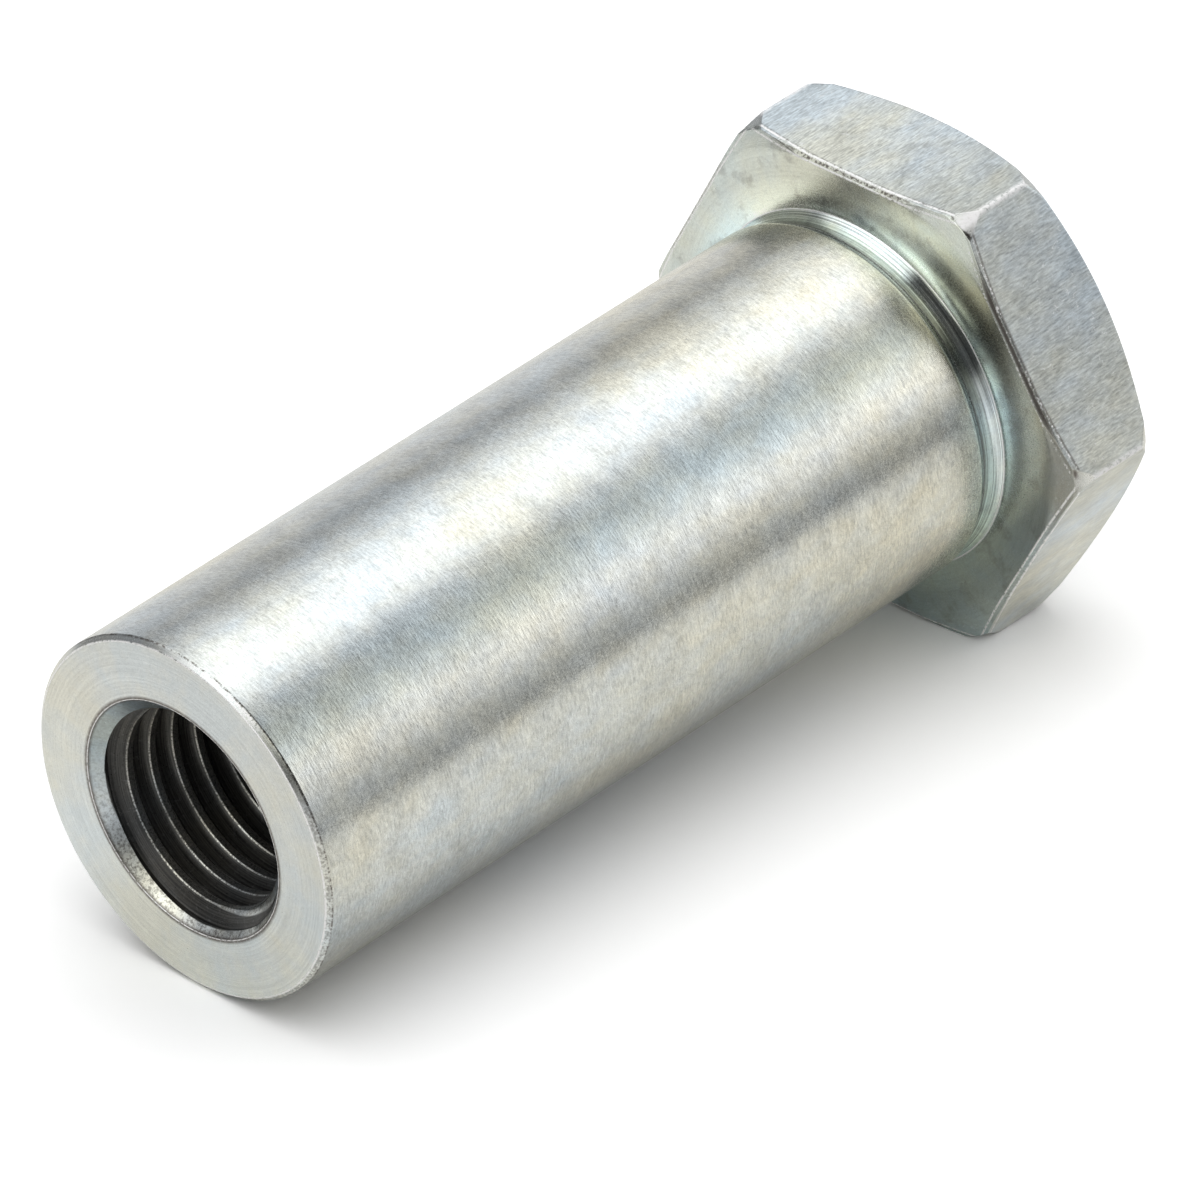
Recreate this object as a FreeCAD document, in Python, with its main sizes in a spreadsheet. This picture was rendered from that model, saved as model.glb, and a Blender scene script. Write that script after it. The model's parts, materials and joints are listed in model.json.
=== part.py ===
import FreeCAD, Part
import math
import os

import Sketcher

# Threaded bushing, turned and milled from one piece of steel bar.
# Sizes are in millimetres. In its own frame the bushing's axis is +X: the nose
# face is at x = 0, the shank runs to the head, and the hexagon ends the part.
# It lies as it comes to rest, on the rim of the nose and one flat of the head.

NODE = "threaded_bushing"
HEX_SIDES = 6
TOLERANCE = 1e-6

# Each size that can be set by itself: alias, value, what it measures.
SIZES = [
    ("shank_diameter", 32.0, "plain turned shank"),
    ("shank_length", 77.5, "nose face to the near face of the head"),
    ("nose_chamfer", 0.4, "45 degree chamfer on the rim of the nose"),
    ("across_flats", 41.0, "hexagonal head"),
    ("head_height", 12.5, "thickness of the head"),
    ("near_edge_break", 0.4, "45 degree break on the head's edges, shank side"),
    ("corner_clip", 2.9, "radial depth of the clip on the head's corners, shank side"),
    ("corner_clip_angle", 18.0, "slope of that clip against the near face, degrees"),
    ("crown_diameter", 34.6, "flat circle of the outer end, inside the crown"),
    ("crown_angle", 30.0, "slope of the crown against the end face, degrees"),
    ("end_corner_clip", 0.6, "radial depth of the clip on the head's corners, outer end"),
    ("end_corner_angle", 64.0, "slope of that clip against the end face, degrees"),
    ("lateral_radius", 0.3, "rounding of the six edges between the flats"),
    ("relief_depth", 0.5, "radial depth of the relief at the root of the shank"),
    ("relief_ramp_angle", 30.0, "slope of the relief on the shank side, degrees"),
    ("relief_radius", 3.5, "concave radius of the relief on the head side"),
    ("thread_minor_diameter", 17.294, "bore at the crests of an M20 x 2.5 thread"),
    ("countersink_diameter", 21.0, "mouth of the 90 degree countersink at both ends"),
]

# Worked out from the sizes above: alias, formula, what it measures.
DERIVED = [
    ("overall_length", "shank_length + head_height", "nose face to end face"),
    ("shank_radius", "shank_diameter / 2", "plain turned shank"),
    ("nose_flat_radius", "shank_radius - nose_chamfer", "outer edge of the nose face"),
    ("relief_floor", "shank_radius - relief_depth", "least radius in the relief"),
    ("relief_turn", "acos(1 - relief_depth / relief_radius)", "turn of its arc"),
    ("relief_low", "shank_length - relief_radius * sin(relief_turn)", "ramp meets arc"),
    ("relief_start", "relief_low - relief_depth / tan(relief_ramp_angle)", "ramp starts"),
    ("root_end", "shank_length + head_height / 2", "turned root, inside the head"),
    ("corner_radius", "across_flats / sqrt(3)", "corners of the hexagon"),
    ("clip_radius", "corner_radius - corner_clip", "where the clip starts on the near face"),
    ("cutter_run", "head_height / 10", "how far the cutters run past the steel"),
    ("cutter_radius", "corner_radius + cutter_run", "reach of the crown cutters"),
    ("clip_front", "shank_length - cutter_run", "clip cutter, in front of the near face"),
    ("clip_low", "clip_radius - cutter_run / tan(corner_clip_angle)",
     "clip cutter's least radius"),
    ("clip_back", "shank_length + (cutter_radius - clip_radius)"
     " * tan(corner_clip_angle)", "where the clip's cone reaches the cutter's radius"),
    ("crown_back", "overall_length + cutter_run", "crown cutter, behind the end face"),
    ("crown_low", "crown_diameter / 2 - cutter_run / tan(crown_angle)",
     "crown cutter's least radius"),
    ("end_clip_radius", "corner_radius - end_corner_clip", "crown meets the end clip"),
    ("end_clip_start", "overall_length - (end_clip_radius - crown_diameter / 2)"
     " * tan(crown_angle)", "crown meets the end clip"),
    ("end_clip_front", "end_clip_start - (cutter_radius - end_clip_radius)"
     " * tan(end_corner_angle)", "where the end clip's cone reaches the cutter's radius"),
    ("bore_radius", "thread_minor_diameter / 2", "wall of the bore"),
    ("countersink_depth", "countersink_diameter / 2 - bore_radius", "90 degree cone"),
    ("rest_tilt", "atan((across_flats / 2 - shank_radius)"
     " / (shank_length + near_edge_break - nose_chamfer))", "the nose's dip at rest"),
    ("rest_height", "shank_radius * cos(rest_tilt) - nose_chamfer * sin(rest_tilt)",
     "nose face's centre over the floor"),
    ("rest_back", "-(overall_length * cos(rest_tilt) + (crown_diameter / 2"
     " - nose_flat_radius) * sin(rest_tilt)) / 2", "nose face's centre along the floor"),
]


def fill_sheet(doc):
    """The sheet of driving and derived dimensions, one row each."""
    sheet = doc.addObject("Spreadsheet::Sheet", "dimensions")
    for row, (alias, value, meaning) in enumerate(SIZES + DERIVED, start=1):
        cell = "B%d" % row
        sheet.set("A%d" % row, alias)
        sheet.set(cell, "=" + value if isinstance(value, str) else repr(value))
        sheet.set("C%d" % row, meaning)
        sheet.setAlias(cell, alias)
    doc.recompute()
    return sheet


def size(sheet, alias):
    """A dimension's present value as a plain number."""
    value = sheet.get(alias)
    return float(getattr(value, "Value", value))


def new_sketch(body, name, role):
    """An empty sketch on one of the body's own origin planes."""
    plane = next(o for o in body.Origin.OriginFeatures if o.Role == role)
    sketch = body.newObject("Sketcher::SketchObject", name)
    sketch.AttachmentSupport = [(plane, "")]
    sketch.MapMode = "FlatFace"
    return sketch


def drive_corner(sheet, sketch, line, along, out):
    """Tie a line's first point to the aliases of its place along and out from the axis."""
    for kind, axis, alias in (("DistanceX", -2, along), ("DistanceY", -1, out)):
        if alias is None:
            sketch.addConstraint(Sketcher.Constraint("PointOnObject", line, 1, axis))
        else:
            index = sketch.addConstraint(
                Sketcher.Constraint(kind, -1, 1, line, 1, size(sheet, alias)))
            sketch.setExpression("Constraints[%d]" % index, "dimensions." + alias)


def half_section(sheet, sketch, corners, arc_side=None, arc_alias=None):
    """A closed half section through corners given as pairs of aliases.

    None stands for a place on the axis or at the nose face. One side may be an arc
    of the named radius that is level where it starts and rises to where it ends.
    """
    points = [FreeCAD.Vector(size(sheet, a) if a else 0, size(sheet, b) if b else 0, 0)
              for a, b in corners]
    for k, start in enumerate(points):
        end = points[(k + 1) % len(points)]
        if k == arc_side:
            radius = size(sheet, arc_alias)
            circle = Part.Circle(start + FreeCAD.Vector(0, radius, 0),
                                 FreeCAD.Vector(0, 0, 1), radius)
            turn = math.asin((end.x - start.x) / radius)
            side = Part.ArcOfCircle(circle, -math.pi / 2, turn - math.pi / 2)
        else:
            side = Part.LineSegment(start, end)
        sketch.addGeometry(side, False)
    for k in range(len(corners)):
        following = (k + 1) % len(corners)
        sketch.addConstraint(Sketcher.Constraint("Coincident", k, 2, following, 1))
    for k, (along, out) in enumerate(corners):
        drive_corner(sheet, sketch, k, along, out)
    if arc_side is not None:
        index = sketch.addConstraint(
            Sketcher.Constraint("Radius", arc_side, size(sheet, arc_alias)))
        sketch.setExpression("Constraints[%d]" % index, "dimensions." + arc_alias)


def spin(body, kind, name, sketch):
    """A full turn of a half section about the bushing's axis."""
    feature = body.newObject(kind, name)
    feature.Profile = sketch
    feature.ReferenceAxis = (sketch, ["H_Axis"])
    feature.Angle = 360
    return feature


def turned_shank(sheet, body):
    """Shank with the nose's chamfer and the relief, turned in one section."""
    sketch = new_sketch(body, "shank_section", "XZ_Plane")
    half_section(sheet, sketch, [
        (None, None),
        (None, "nose_flat_radius"),
        ("nose_chamfer", "shank_radius"),
        ("relief_start", "shank_radius"),
        ("relief_low", "relief_floor"),
        ("shank_length", "shank_radius"),
        ("root_end", "shank_radius"),
        ("root_end", None),
    ], arc_side=4, arc_alias="relief_radius")
    spin(body, "PartDesign::Revolution", "shank", sketch)


def hexagonal_head(sheet, body):
    """Hexagon with a corner on the Y axis, so that one flat faces straight down."""
    sketch = new_sketch(body, "head_outline", "YZ_Plane")
    sketch.setExpression("AttachmentOffset.Base.z", "dimensions.shank_length")
    radius = size(sheet, "corner_radius")
    corners = [FreeCAD.Vector(radius * math.cos(k * math.tau / HEX_SIDES),
                              radius * math.sin(k * math.tau / HEX_SIDES), 0)
               for k in range(HEX_SIDES)]
    for k, corner in enumerate(corners):
        following = corners[(k + 1) % HEX_SIDES]
        sketch.addGeometry(Part.LineSegment(corner, following), False)
    ring = sketch.addGeometry(
        Part.Circle(FreeCAD.Vector(0, 0, 0), FreeCAD.Vector(0, 0, 1), radius), True)
    sketch.addConstraint(Sketcher.Constraint("Coincident", ring, 3, -1, 1))
    index = sketch.addConstraint(Sketcher.Constraint("Radius", ring, radius))
    sketch.setExpression("Constraints[%d]" % index, "dimensions.corner_radius")
    for k in range(HEX_SIDES):
        following = (k + 1) % HEX_SIDES
        sketch.addConstraint(Sketcher.Constraint("Coincident", k, 2, following, 1))
        sketch.addConstraint(Sketcher.Constraint("PointOnObject", k, 1, ring))
        if k > 0:
            sketch.addConstraint(Sketcher.Constraint("Equal", 0, k))
    sketch.addConstraint(Sketcher.Constraint("PointOnObject", 0, 1, -1))
    head = body.newObject("PartDesign::Pad", "head")
    head.Profile = sketch
    head.setExpression("Length", "dimensions.head_height")


def edges_where(feature, test):
    """Names of the feature's edges that pass a test."""
    return ["Edge%d" % k for k, edge in enumerate(feature.Shape.Edges, start=1) if test(edge)]


def at_place(edge, along):
    """Whether an edge lies wholly in the plane across the axis at a place along it."""
    return all(abs(v.X - along) < TOLERANCE for v in edge.Vertexes)


def off_axis(vertex):
    """A vertex's distance from the bushing's axis."""
    return math.hypot(vertex.Y, vertex.Z)


def dress(body, kind, name, base, names, prop, alias):
    """A chamfer or fillet on named edges, with its size tied to the sheet."""
    feature = body.newObject(kind, name)
    feature.Base = (base, names)
    feature.setExpression(prop, "dimensions." + alias)
    return feature


def broken_near_edges(doc, sheet, body):
    """The six edges of the head's near face, broken at 45 degrees."""
    doc.recompute()
    base = body.Tip
    near = size(sheet, "shank_length")
    side = size(sheet, "corner_radius")
    names = edges_where(base, lambda e: isinstance(e.Curve, Part.Line)
                        and at_place(e, near) and abs(e.Length - side) < TOLERANCE)
    dress(body, "PartDesign::Chamfer", "near_edges", base, names, "Size", "near_edge_break")


def turned_corners(sheet, body):
    """The corners clipped on the shank side, and crown and clip on the outer end."""
    clip = new_sketch(body, "corner_clip_section", "XZ_Plane")
    half_section(sheet, clip, [
        ("clip_front", "clip_low"),
        ("clip_back", "cutter_radius"),
        ("clip_front", "cutter_radius"),
    ])
    spin(body, "PartDesign::Groove", "corner_clip", clip)
    crown = new_sketch(body, "crown_section", "XZ_Plane")
    half_section(sheet, crown, [
        ("crown_back", "crown_low"),
        ("crown_back", "cutter_radius"),
        ("end_clip_front", "cutter_radius"),
        ("end_clip_start", "end_clip_radius"),
    ])
    spin(body, "PartDesign::Groove", "end_crown", crown)


def rounded_lateral_edges(doc, sheet, body):
    """The six edges between the flats, rounded."""
    doc.recompute()
    base = body.Tip
    radius = size(sheet, "corner_radius")
    names = edges_where(base, lambda e: isinstance(e.Curve, Part.Line)
                        and all(abs(off_axis(v) - radius) < TOLERANCE for v in e.Vertexes))
    dress(body, "PartDesign::Fillet", "lateral_edges", base, names, "Radius",
          "lateral_radius")


def countersunk_bore(doc, sheet, body):
    """Bore at the thread's crests, right through, countersunk at both ends."""
    sketch = new_sketch(body, "bore_outline", "YZ_Plane")
    radius = size(sheet, "bore_radius")
    sketch.addGeometry(
        Part.Circle(FreeCAD.Vector(0, 0, 0), FreeCAD.Vector(0, 0, 1), radius), False)
    sketch.addConstraint(Sketcher.Constraint("Coincident", 0, 3, -1, 1))
    index = sketch.addConstraint(Sketcher.Constraint("Radius", 0, radius))
    sketch.setExpression("Constraints[%d]" % index, "dimensions.bore_radius")
    bore = body.newObject("PartDesign::Pocket", "bore")
    bore.Profile = sketch
    bore.Type = "ThroughAll"
    bore.Reversed = True
    doc.recompute()
    names = edges_where(bore, lambda e: isinstance(e.Curve, Part.Circle)
                        and abs(e.Curve.Radius - radius) < TOLERANCE)
    dress(body, "PartDesign::Chamfer", "countersinks", bore, names, "Size",
          "countersink_depth")


def lay_at_rest(body):
    """Placement at rest, with the origin under the middle of the bushing's box."""
    body.Placement = FreeCAD.Placement(
        FreeCAD.Vector(0, 0, 0), FreeCAD.Rotation(FreeCAD.Vector(0, -1, 0), 1))
    body.setExpression("Placement.Rotation.Angle", "dimensions.rest_tilt")
    body.setExpression("Placement.Base.x", "dimensions.rest_back")
    body.setExpression("Placement.Base.z", "dimensions.rest_height")


def check_features(doc):
    """Stop on any feature that failed or on a shape that isn't one valid solid."""
    for obj in doc.Objects:
        if "Invalid" in obj.State or "Error" in obj.State:
            raise RuntimeError("%s failed: %s" % (obj.Name, obj.State))
        if obj.isDerivedFrom("PartDesign::Feature") and not obj.Shape.isValid():
            raise RuntimeError("%s has no valid shape" % obj.Name)


def check_volumes(body):
    """Each added form adds steel, and each cut takes some away."""
    before = 0.0
    for feature in (f for f in body.Group if f.isDerivedFrom("PartDesign::Feature")):
        after = feature.Shape.Volume
        adds = feature.TypeId in ("PartDesign::Revolution", "PartDesign::Pad")
        if (after > before) != adds:
            raise RuntimeError("%s changed the volume the wrong way" % feature.Name)
        before = after


def main():
    doc = FreeCAD.newDocument("bushing")
    sheet = fill_sheet(doc)
    body = doc.addObject("PartDesign::Body", NODE)
    body.Label = NODE
    turned_shank(sheet, body)
    hexagonal_head(sheet, body)
    broken_near_edges(doc, sheet, body)
    turned_corners(sheet, body)
    rounded_lateral_edges(doc, sheet, body)
    countersunk_bore(doc, sheet, body)
    lay_at_rest(body)
    doc.recompute()

    check_features(doc)
    check_volumes(body)
    shape = body.Shape
    if shape.isNull() or not shape.isValid() or len(shape.Solids) != 1:
        raise RuntimeError("%s isn't one valid solid" % NODE)

    os.makedirs("parts", exist_ok=True)
    shape.exportStep("parts/%s.step" % NODE)
    box = shape.optimalBoundingBox(False, False)
    print("%s: volume %.1f mm3, box %.3f to %.3f, %.3f to %.3f, %.3f to %.3f" % (
        NODE, shape.Volume, box.XMin, box.XMax, box.YMin, box.YMax, box.ZMin, box.ZMax))
    for alias in ("rest_tilt", "rest_height", "rest_back", "countersink_depth"):
        print("%s %.5f" % (alias, size(sheet, alias)))


main()
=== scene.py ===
import json
import math

import bmesh
import bpy
import numpy as np
from mathutils import Matrix, Vector


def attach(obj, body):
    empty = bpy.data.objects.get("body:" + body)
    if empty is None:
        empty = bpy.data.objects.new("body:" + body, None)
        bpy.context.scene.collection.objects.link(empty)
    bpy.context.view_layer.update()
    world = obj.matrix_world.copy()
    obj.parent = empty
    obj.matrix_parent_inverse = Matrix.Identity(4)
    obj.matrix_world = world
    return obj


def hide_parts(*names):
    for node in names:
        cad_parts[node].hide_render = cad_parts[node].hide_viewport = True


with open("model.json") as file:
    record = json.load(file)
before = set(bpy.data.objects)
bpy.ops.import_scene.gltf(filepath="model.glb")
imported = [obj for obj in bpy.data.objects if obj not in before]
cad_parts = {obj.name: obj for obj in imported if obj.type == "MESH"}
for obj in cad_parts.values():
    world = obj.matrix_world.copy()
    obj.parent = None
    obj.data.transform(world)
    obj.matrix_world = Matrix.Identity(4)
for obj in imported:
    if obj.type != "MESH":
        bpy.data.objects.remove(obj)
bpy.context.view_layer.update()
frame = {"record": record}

# The threaded bushing in metres. Its own axes: x along it from the nose face to the
# outer end of the head, y across the floor, z up the flats. They come from the mounts.
MM = 0.001
NODE = "threaded_bushing"
MOUNTS = {m["name"]: m for m in frame["record"]["mounts"]}

SHANK_RADIUS = MOUNTS["shank"]["dims"]["r_mm"] * MM
SHANK_LENGTH = 77.5 * MM
NOSE_CHAMFER = 0.4 * MM
HALF_FLATS = 20.5 * MM
HEAD_HEIGHT = 12.5 * MM
OVERALL = SHANK_LENGTH + HEAD_HEIGHT
NEAR_BREAK = 0.4 * MM
CLIP_RADIUS = 2 * HALF_FLATS / math.sqrt(3) - 2.9 * MM
CLIP_SLOPE = math.tan(math.radians(18))
CORNER_RADIUS = 2 * HALF_FLATS / math.sqrt(3) - 0.72 * MM
CORNER_SLOPE = math.tan(math.radians(72))
CROWN_RADIUS = 17.3 * MM
CROWN_SLOPE = math.tan(math.radians(30))
LATERAL_RADIUS = 0.3 * MM
RELIEF_DEPTH = 0.5 * MM
RELIEF_RAMP = math.tan(math.radians(30))
RELIEF_RADIUS = 3.5 * MM
RELIEF_WIDTH = RELIEF_DEPTH / RELIEF_RAMP + math.sqrt(
    2 * RELIEF_DEPTH * RELIEF_RADIUS - RELIEF_DEPTH ** 2)
END_CLIP_RADIUS = 2 * HALF_FLATS / math.sqrt(3) - 0.6 * MM
END_CLIP_SLOPE = math.tan(math.radians(64))
MOUTH_RADIUS = 10.5 * MM
MINOR_RADIUS = MOUNTS["thread"]["dims"]["r_mm"] * MM
MAJOR_RADIUS = 10.0 * MM
PITCH = 2.5 * MM
THREAD_START = 1.4 * MM

AXIS = -Vector(MOUNTS["thread"]["axis"])
NOSE_CENTRE = Vector(MOUNTS["thread"]["pos_m"]) - AXIS * OVERALL / 2
TILT = math.atan2(AXIS.z, AXIS.x)

# The same places in millimetres, the unit of the material's own coordinates.
RADIUS_MM, LENGTH_MM, OVERALL_MM = (v / MM for v in (SHANK_RADIUS, SHANK_LENGTH, OVERALL))
FLATS_MM, MOUTH_MM, CHAMFER_MM = (v / MM for v in (HALF_FLATS, MOUTH_RADIUS, NOSE_CHAMFER))

# Columns of the surface round the axis, and the rows of the thread in one pitch, by
# their places in millimetres from the middle of the groove.
COLUMNS = 144
SECTOR = math.radians(60)
THREAD_ROWS = (-0.19, -0.12, 0.12, 0.19, 0.42, 0.68, 0.90, 0.975, 1.525, 1.60, 1.82, 2.08)

# How far the thread's edges and the mouths' edges are rounded, the least width of a
# strip, the distance at which points are one, and the angle that makes an edge sharp.
THREAD_EDGE = 0.06 * MM
MOUTH_EDGE = 0.03 * MM
TINY = 0.02 * MM
WELD = 0.0002 * MM
SHARP = math.radians(35)


def smooth_max(a, b, soft):
    """The larger of two values, with the corner where they cross rounded off."""
    gap = np.clip(0.5 + 0.5 * (a - b) / soft, 0, 1)
    return b + (a - b) * gap + soft * gap * (1 - gap)


def lateral_arc():
    """Where the arc that rounds an edge between flats has its centre, and its half angle."""
    centre = (HALF_FLATS - LATERAL_RADIUS) / math.cos(SECTOR / 2)
    rim = math.atan2(LATERAL_RADIUS * math.sin(SECTOR / 2),
                     centre + LATERAL_RADIUS * math.cos(SECTOR / 2))
    return centre, rim


def hexagon_columns():
    """Angles of the columns on the head, crowded at the rounded edges.

    Each sixth of a turn is centred on a corner. Its columns lie evenly inside the
    small arc that rounds the edge, then at even steps across half a flat each side.
    """
    rim = lateral_arc()[1]
    inner = np.linspace(0, rim, 4)
    across = np.linspace(math.tan(rim * 1.8 - SECTOR / 2), 0, COLUMNS // 12 - 3)
    outer = np.arctan(across) + SECTOR / 2
    side = np.concatenate([inner, outer])
    sixth = np.concatenate([-side[:0:-1], side[:-1]])
    angles = (np.arange(6)[:, None] * SECTOR + sixth[None, :]).ravel()
    return np.append(angles, angles[0] + math.tau)


def hexagon_radius(angle):
    """Distance from the axis to the hexagon's side at an angle.

    It is half the width across flats over the cosine of the angle from the flat's
    middle, and at the corners the far crossing of the ray with the rounding circle.
    """
    centre, rim = lateral_arc()
    off = np.abs((angle + SECTOR / 2) % SECTOR - SECTOR / 2)
    flat = HALF_FLATS / np.cos(SECTOR / 2 - off)
    room = LATERAL_RADIUS ** 2 - (centre * np.sin(off)) ** 2
    arc = centre * np.cos(off) + np.sqrt(np.maximum(room, 0))
    return np.where(off < rim, arc, flat)


def thread_radius(along, angle):
    """Radius of the threaded void: a right-hand helix, flat at root and crest.

    The distance along the axis from the groove's middle is folded into half a
    pitch. The radius is the major one over an eighth of the pitch, falls with the
    60 degree flanks, and is the minor one on the crest. The two countersinks are
    cones that the void takes in where they are wider.
    """
    turn = THREAD_START + PITCH * angle / math.tau
    off = np.abs((along - turn + PITCH / 2) % PITCH - PITCH / 2)
    flank = MAJOR_RADIUS - (off - PITCH / 16) * math.sqrt(3)
    radius = -smooth_max(-flank, np.full_like(flank, -MAJOR_RADIUS), THREAD_EDGE)
    radius = smooth_max(radius, np.full_like(flank, MINOR_RADIUS), THREAD_EDGE)
    cone = MOUTH_RADIUS - np.minimum(along, OVERALL - along)
    return smooth_max(radius, cone, MOUTH_EDGE)


def outline(angle_hex):
    """Corners of the half section at every column, from the nose's mouth to the back's.

    Returns the places along the axis, the radii, and the list of corners: place along,
    radius, how far the corner is softened in millimetres, how far the columns have
    moved there from even steps to the hexagon's, and the rows up to the next corner.
    """
    count = len(angle_hex)
    corner = hexagon_radius(angle_hex)
    off = np.abs((angle_hex + SECTOR / 2) % SECTOR - SECTOR / 2)
    lean = np.cos(SECTOR / 2 - off)
    broken = (HALF_FLATS - NEAR_BREAK) / lean
    sloped = (HALF_FLATS - NEAR_BREAK - CLIP_RADIUS * CLIP_SLOPE) / (lean - CLIP_SLOPE)
    face_edge = np.where(broken > CLIP_RADIUS, sloped, broken)
    face_edge = np.minimum(np.minimum(face_edge, CORNER_RADIUS), corner - TINY)
    face_start = np.minimum(CLIP_RADIUS, face_edge - TINY)

    def front(radius):
        clip = np.maximum(radius - CLIP_RADIUS, 0) * CLIP_SLOPE
        edge = radius * lean - (HALF_FLATS - NEAR_BREAK)
        worn = (CORNER_RADIUS - CLIP_RADIUS) * CLIP_SLOPE + (
            radius - CORNER_RADIUS) * CORNER_SLOPE
        return SHANK_LENGTH + np.maximum(np.maximum(clip, edge), worn)

    rise = math.acos(1 - RELIEF_DEPTH / RELIEF_RADIUS)
    low = SHANK_LENGTH - RELIEF_RADIUS * math.sin(rise)
    start = low - RELIEF_DEPTH / RELIEF_RAMP
    arc = [(low + RELIEF_RADIUS * math.sin(rise * t),
            SHANK_RADIUS - RELIEF_DEPTH + RELIEF_RADIUS * (1 - math.cos(rise * t)))
           for t in np.arange(1, 8) / 8]
    clipped = np.minimum(END_CLIP_RADIUS, corner - TINY)
    back = OVERALL - (clipped - CROWN_RADIUS) * CROWN_SLOPE
    outer = back - (corner - clipped) * END_CLIP_SLOPE
    corners = [
        (0, MOUTH_RADIUS, 0.10, 0, 9),
        (0, SHANK_RADIUS - NOSE_CHAMFER, 0.10, 0, 4),
        (NOSE_CHAMFER, SHANK_RADIUS, 0.12, 0, 14),
        (start, SHANK_RADIUS, 0.25, 0, 4),
        (low, SHANK_RADIUS - RELIEF_DEPTH, 0.12, 0, 1),
        *((*place, 0.08, 0, 1) for place in arc),
        (SHANK_LENGTH, SHANK_RADIUS, 0.04, 0, 10),
        (SHANK_LENGTH, face_start, 1.2, 1, 4),
        (front(face_edge), face_edge, 0.06, 1, 3),
        (front(corner), corner, 0.08, 1, 7),
        (outer, corner, 0.25, 1, 1),
        (back, clipped, 0.20, 1, 8),
        (OVERALL, CROWN_RADIUS, 0.30, 0, 8),
        (OVERALL, MOUTH_RADIUS, 0.10, 0, 1),
    ]
    along = np.array([np.broadcast_to(c[0], count) for c in corners], float)
    out = np.array([np.broadcast_to(c[1], count) for c in corners], float)
    return along, out, corners


def softened_rows(along, out, corners, angle_round, angle_hex):
    """Rows of the outer surface, with each corner of the outline rounded.

    A corner becomes a parabola from a short way back on one side to the same way
    along the next, at most a third of either side. Each side between is divided
    evenly, and a longer one gets one more row close to each end, so that its shading
    stays flat.
    """
    rows = []
    steps = np.linspace(0, 1, 5)
    last = len(corners) - 1
    for k, (_, _, soft, blend, parts) in enumerate(corners):
        here = np.stack([along[k], out[k]])
        if 0 < k < last:
            before = np.stack([along[k - 1], out[k - 1]]) - here
            after = np.stack([along[k + 1], out[k + 1]]) - here
            reach = [np.minimum(soft * MM, np.linalg.norm(v, axis=0) / 3) for v in (before, after)]
            a = here + before / np.linalg.norm(before, axis=0) * reach[0]
            c = here + after / np.linalg.norm(after, axis=0) * reach[1]
            for s in steps:
                rows.append((a * (1 - s) ** 2 + here * 2 * s * (1 - s) + c * s * s, blend))
        else:
            a = c = here
            rows.append((here, blend))
        if k == last:
            break
        ahead = np.stack([along[k + 1], out[k + 1]])
        way = ahead - here
        length = np.linalg.norm(way, axis=0)
        next_soft = corners[k + 1][2] * MM if k + 1 < last else 0.0
        stop = ahead - way / length * np.minimum(next_soft, length / 3)
        places = [np.full_like(length, t) for t in np.linspace(0, 1, parts + 1)[1:-1]]
        if parts > 2:
            close = np.minimum(2 * TINY / length, 0.05)
            places = [close, *places, 1 - close]
        for t in places:
            rows.append((c + (stop - c) * t, blend + (corners[k + 1][3] - blend) * t))
    place = np.stack([r[0] for r in rows])
    mix = np.stack([np.broadcast_to(r[1], along.shape[1:]) for r in rows])
    angle = angle_round * (1 - mix) + angle_hex * mix
    return place[:, 0], place[:, 1], angle


def bore_rows(turn):
    """Rows of the threaded bore as places along the axis, for each part of a turn.

    The rows follow the helix, so that they run along its root, flanks and crest,
    and close in pairs at the edges between them. Where a row would leave the bore
    it stays on the end face, and its points there are merged later.
    """
    marks = np.array(THREAD_ROWS) * MM
    turns = np.arange(-2, int(OVERALL / PITCH) + 1)
    levels = (turns[:, None] * PITCH + marks[None, :]).ravel() + THREAD_START
    place = levels[:, None] + PITCH * turn
    kept = (place[:, -1] > 0) & (place[:, 0] < OVERALL)
    first, last = np.flatnonzero(kept)[[0, -1]]
    return np.clip(place[max(first - 1, 0):last + 2], 0, OVERALL)


def to_frame(along, out, angle):
    """Points in the frame from place along the axis, radius and angle round it."""
    own = np.stack([along, out * np.cos(angle), out * np.sin(angle)], -1).reshape(-1, 3)
    turn = np.array(Matrix.Rotation(-TILT, 3, "Y"))
    return own @ turn.T + np.array(NOSE_CENTRE)


def grid_faces(rows, columns, first, flip):
    """Quads of a grid of points whose numbers start at first."""
    number = first + np.arange(rows * columns).reshape(rows, columns)
    quads = [number[:-1, :-1], number[:-1, 1:], number[1:, 1:], number[1:, :-1]]
    if flip:
        quads = quads[::-1]
    return np.stack(quads, -1).reshape(-1, 4)


def build_bushing():
    """The whole bushing as one closed surface, from the outer rows and the bore's."""
    angle_round = np.linspace(0, math.tau, COLUMNS + 1)
    angle_hex = hexagon_columns()
    angle_round = angle_round + angle_hex[0]
    along, out, corners = outline(angle_hex)
    grids = [(*softened_rows(along, out, corners, angle_round, angle_hex), False)]
    place = bore_rows((angle_round - angle_round[0]) / math.tau)
    spread = np.broadcast_to(angle_round, place.shape)
    grids.append((place, thread_radius(place, spread - angle_round[0]), spread, True))
    points, faces = [], []
    count = 0
    for place, radius, angle, flip in grids:
        points.append(to_frame(place, radius, angle))
        faces.append(grid_faces(*place.shape, count, flip))
        count += place.size
    mesh = bpy.data.meshes.new("bushing")
    mesh.from_pydata(np.concatenate(points), [], np.concatenate(faces).tolist())
    bm = bmesh.new()
    bm.from_mesh(mesh)
    bmesh.ops.remove_doubles(bm, verts=bm.verts, dist=WELD)
    bm.to_mesh(mesh)
    bm.free()
    mesh.shade_smooth()
    mesh.set_sharp_from_angle(angle=SHARP)
    piece = bpy.data.objects.new("bushing", mesh)
    bpy.context.scene.collection.objects.link(piece)
    return piece


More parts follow.
